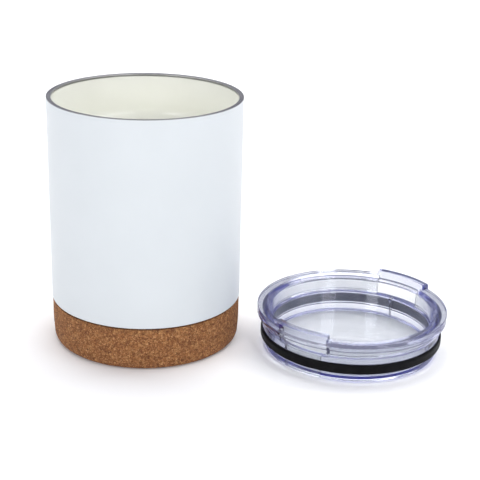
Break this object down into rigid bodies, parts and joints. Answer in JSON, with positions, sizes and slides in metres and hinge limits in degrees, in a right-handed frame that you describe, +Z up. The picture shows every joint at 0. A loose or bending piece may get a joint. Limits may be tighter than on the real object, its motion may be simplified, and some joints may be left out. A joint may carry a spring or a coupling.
{
  "type": "insulated travel tumbler",
  "caption": "Straight double-wall steel travel tumbler with a white coat, cream lining and cork base, and beside it a clear press-in lid with a black gasket and a turning ring.",
  "frame": {"origin": "on the cup's axis, at the flat underside of the cork base, the level that cup and lid stand on", "axes": "+Z up along the cup's axis, +X from the cup towards the lid lying beside it, -Y towards the front"},
  "size_m": [0.176, 0.095, 0.11],
  "materials": {
    "white_coat": "satin",
    "cream_lining": "gloss",
    "bare_steel": "satin",
    "dull_steel": "matte",
    "solder": "satin",
    "getter_metal": "matte",
    "adhesive": "matte",
    "cork": "matte",
    "clear_plastic": "gloss",
    "silicone": "satin"
  },
  "bodies": {
    "cup": {"outer_wall": "white_coat", "inner_vessel": "cream_lining", "mouth_ring": "bare_steel", "base_plate": "dull_steel", "vacuum_seal": "solder", "getter_cup": "dull_steel", "getter_tablet": "getter_metal", "glue_pad": "adhesive", "cork_base": "cork"},
    "lid": {"lid_body": "clear_plastic", "gasket": "silicone"},
    "ring": {"turn_ring": "clear_plastic"}
  },
  "joints": [
    {"name": "lid_lift", "type": "slide", "parent": "cup", "child": "lid", "axis": [0, 0, 1], "range_m": [0, 0.14]},
    {"name": "ring_turn", "type": "hinge", "parent": "lid", "child": "ring", "pos_m": [0.092, -0.011, 0.0172], "axis": [0, 0, 1], "range_deg": [0, 90]}
  ]
}
